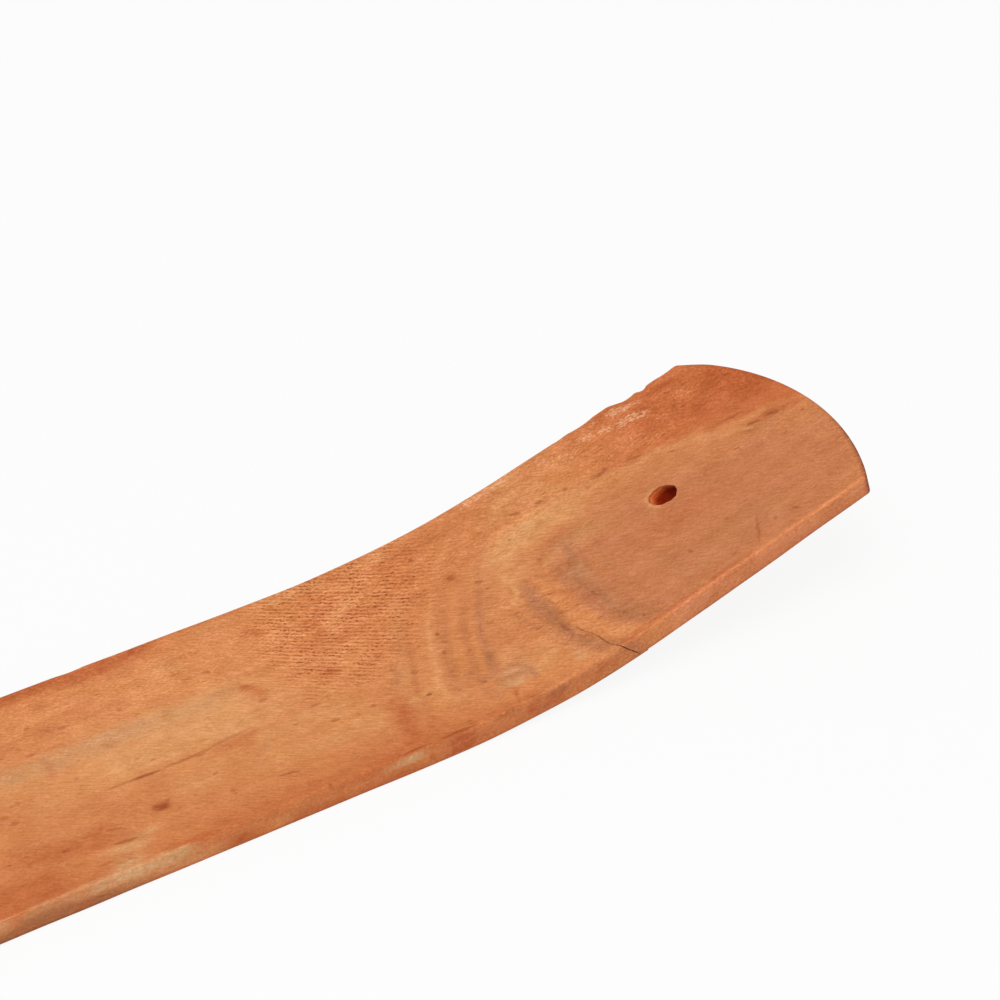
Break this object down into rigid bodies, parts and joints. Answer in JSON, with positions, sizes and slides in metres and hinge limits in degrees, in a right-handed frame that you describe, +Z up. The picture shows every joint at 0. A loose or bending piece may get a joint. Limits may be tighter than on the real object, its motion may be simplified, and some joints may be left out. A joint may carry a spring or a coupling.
{
  "type": "incense stick holder",
  "caption": "Wooden ski-shaped board: a flat tray that catches ash, a lifted rounded end, and a leaning hole there that holds an incense stick over the tray.",
  "frame": {"origin": "middle of the flat underside: on the middle of the width, halfway between the tail and the start of the bend", "axes": "+X along the board towards the lifted end with the hole, +Y across the board, +Z up"},
  "size_m": [0.251, 0.038, 0.0195],
  "materials": {
    "wood": "bare orange-brown wood, sawn and lightly sanded, matt"
  },
  "bodies": {
    "root": {"ash_catcher_board": "wood"}
  },
  "joints": []
}
